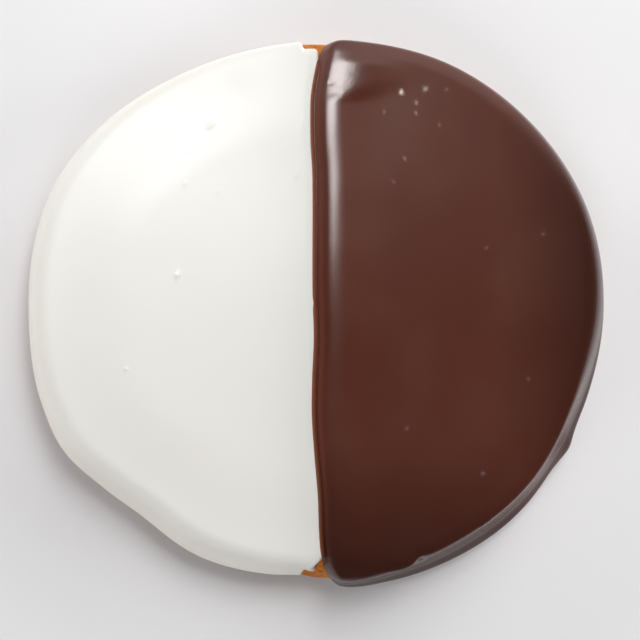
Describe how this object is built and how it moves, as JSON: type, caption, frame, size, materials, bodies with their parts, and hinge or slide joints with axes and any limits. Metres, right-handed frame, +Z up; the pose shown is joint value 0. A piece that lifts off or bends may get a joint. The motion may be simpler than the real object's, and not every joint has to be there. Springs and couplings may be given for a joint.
{
  "type": "black and white cookie",
  "caption": "Flat round bakery cookie: a soft domed cake base with its flat top iced half in white fondant and half in glossy dark chocolate, which meet along a straight seam.",
  "frame": {"origin": "on the supporting surface, under the middle of the cookie's outline", "axes": "+Z up through the iced face, +Y along the seam, +X from the white half towards the chocolate half"},
  "size_m": [0.1132, 0.1082, 0.0165],
  "materials": {
    "cake": "baked golden crumb, dull",
    "white_icing": "set sugar icing, soft shine",
    "chocolate_icing": "set chocolate icing, glossy"
  },
  "bodies": {
    "root": {"cake_base": "cake", "white_icing": "white_icing", "chocolate_icing": "chocolate_icing"}
  },
  "joints": []
}
